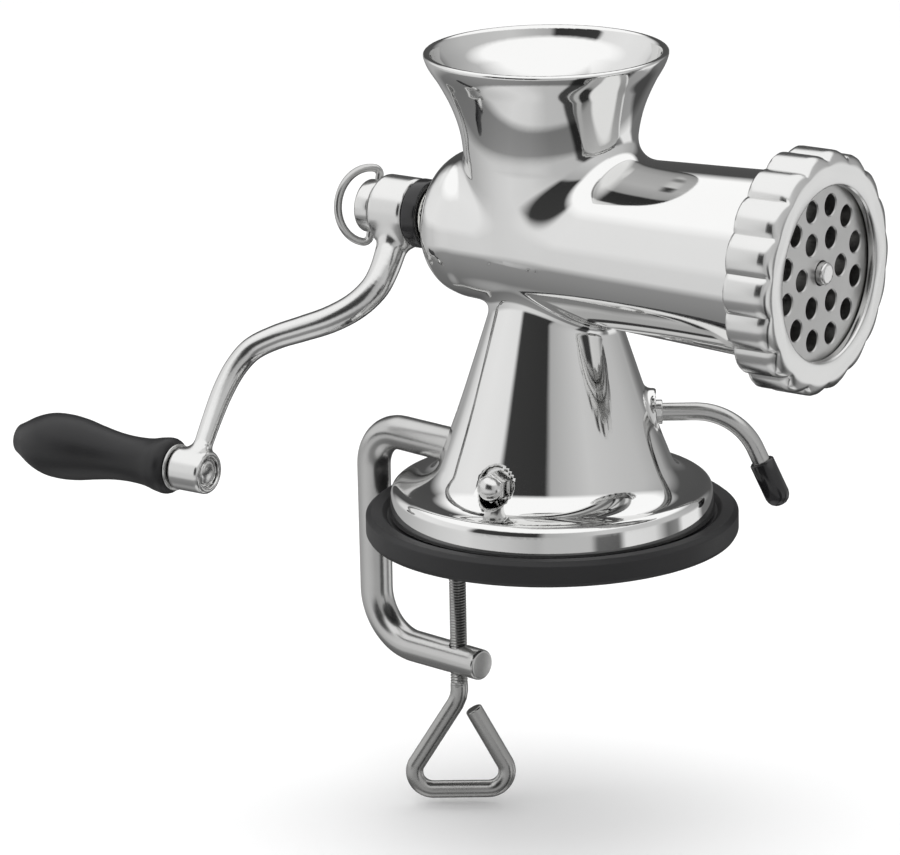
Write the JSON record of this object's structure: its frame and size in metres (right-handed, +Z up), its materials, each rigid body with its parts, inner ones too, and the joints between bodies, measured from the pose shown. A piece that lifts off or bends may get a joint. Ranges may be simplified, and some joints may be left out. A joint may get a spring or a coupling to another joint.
{
  "type": "hand crank meat grinder",
  "caption": "Hand crank meat grinder in polished stainless steel with a feed hopper, a perforated plate, a suction base with a lever, and a bent bar table clamp.",
  "frame": {"origin": "middle of the suction pad's underside, where the grinder stands on the table", "axes": "+Z up, +X along the barrel from the crank towards the mouth"},
  "size_m": [0.2885, 0.1322, 0.2645],
  "materials": {
    "body_casting": "polished stainless steel",
    "ring_nut": "polished stainless steel",
    "grinding_plate": "ground steel",
    "plate_key": "polished stainless steel",
    "knife": "ground steel",
    "auger": "polished stainless steel",
    "rear_bush": "plain white nylon",
    "thrust_washer": "matte black plastic",
    "crank_arm": "polished stainless steel",
    "thumb_washer": "polished stainless steel",
    "thumb_screw": "polished stainless steel",
    "thumb_bail": "polished stainless steel",
    "grip_bolt": "satin plated steel",
    "grip": "matte black plastic",
    "grip_washer": "satin plated steel",
    "clamp_bracket": "satin plated steel",
    "clamp_lock_screw": "satin plated steel",
    "clamp_screw": "satin plated steel",
    "pressure_cap": "satin plated steel",
    "suction_pad": "black rubber",
    "pad_centre": "black rubber",
    "pad_stem": "satin plated steel",
    "cam_follower": "satin plated steel",
    "suction_lever": "satin plated steel",
    "lever_bush": "satin plated steel",
    "lever_clip": "satin plated steel",
    "lever_tip": "black rubber"
  },
  "bodies": {
    "housing": {"body_casting": "body_casting", "rear_bush": "rear_bush", "plate_key": "plate_key", "suction_pad": "suction_pad", "clamp_lock_screw": "clamp_lock_screw", "lever_bush": "lever_bush"},
    "drive": {"auger": "auger", "knife": "knife", "thrust_washer": "thrust_washer", "crank_arm": "crank_arm", "thumb_washer": "thumb_washer", "thumb_screw": "thumb_screw", "grip_bolt": "grip_bolt", "grip_washer": "grip_washer"},
    "handle": {"grip": "grip"},
    "bail": {"thumb_bail": "thumb_bail"},
    "plate": {"grinding_plate": "grinding_plate"},
    "nut": {"ring_nut": "ring_nut"},
    "clamp": {"clamp_bracket": "clamp_bracket"},
    "jaw": {"pressure_cap": "pressure_cap"},
    "screw": {"clamp_screw": "clamp_screw"},
    "lever": {"suction_lever": "suction_lever", "lever_clip": "lever_clip", "lever_tip": "lever_tip"},
    "puller": {"pad_centre": "pad_centre", "pad_stem": "pad_stem", "cam_follower": "cam_follower"}
  },
  "joints": [
    {"name": "crank_turn", "type": "hinge", "parent": "housing", "child": "drive", "pos_m": [0, 0, 0.1035], "axis": [1, 0, 0], "continuous": true},
    {"name": "grip_spin", "type": "hinge", "parent": "drive", "child": "handle", "pos_m": [-0.112, -0.05851, 0.01995], "axis": [1, 0, 0], "continuous": true},
    {"name": "bail_swing", "type": "hinge", "parent": "drive", "child": "bail", "pos_m": [-0.07025, 0, 0.1035], "axis": [0, 0.309, 0.9511], "range_deg": [-125, 38]},
    {"name": "plate_slide", "type": "slide", "parent": "housing", "child": "plate", "axis": [1, 0, 0], "range_m": [0, 0.012]},
    {"name": "nut_turn", "type": "hinge", "parent": "plate", "child": "nut", "pos_m": [0.1, 0, 0.1035], "axis": [1, 0, 0], "range_deg": [0, 1476]},
    {"name": "clamp_reach", "type": "slide", "parent": "housing", "child": "clamp", "axis": [-0.9877, 0.1564, 0], "range_m": [0, 0.012]},
    {"name": "jaw_slide", "type": "slide", "parent": "clamp", "child": "jaw", "axis": [0, 0, 1], "range_m": [-0.02, 0.006]},
    {"name": "screw_turn", "type": "hinge", "parent": "jaw", "child": "screw", "pos_m": [-0.03497, -0.00602, -0.04], "axis": [0, 0, 1], "range_deg": [-7236, 2196]},
    {"name": "lever_swing", "type": "hinge", "parent": "housing", "child": "lever", "pos_m": [0, 0, 0.0412], "axis": [0.832, 0.5548, 0], "range_deg": [0, 91]},
    {"name": "pad_lift", "type": "slide", "parent": "housing", "child": "puller", "axis": [0, 0, 1], "range_m": [0, 0.004]}
  ],
  "couplings": [
    {"joint": "nut_turn", "follows": "plate_slide", "rad_per_m": 2094.4},
    {"joint": "screw_turn", "follows": "jaw_slide", "rad_per_m": 6283.2},
    {"joint": "lever_swing", "follows": "pad_lift", "rad_per_m": 392.7}
  ]
}
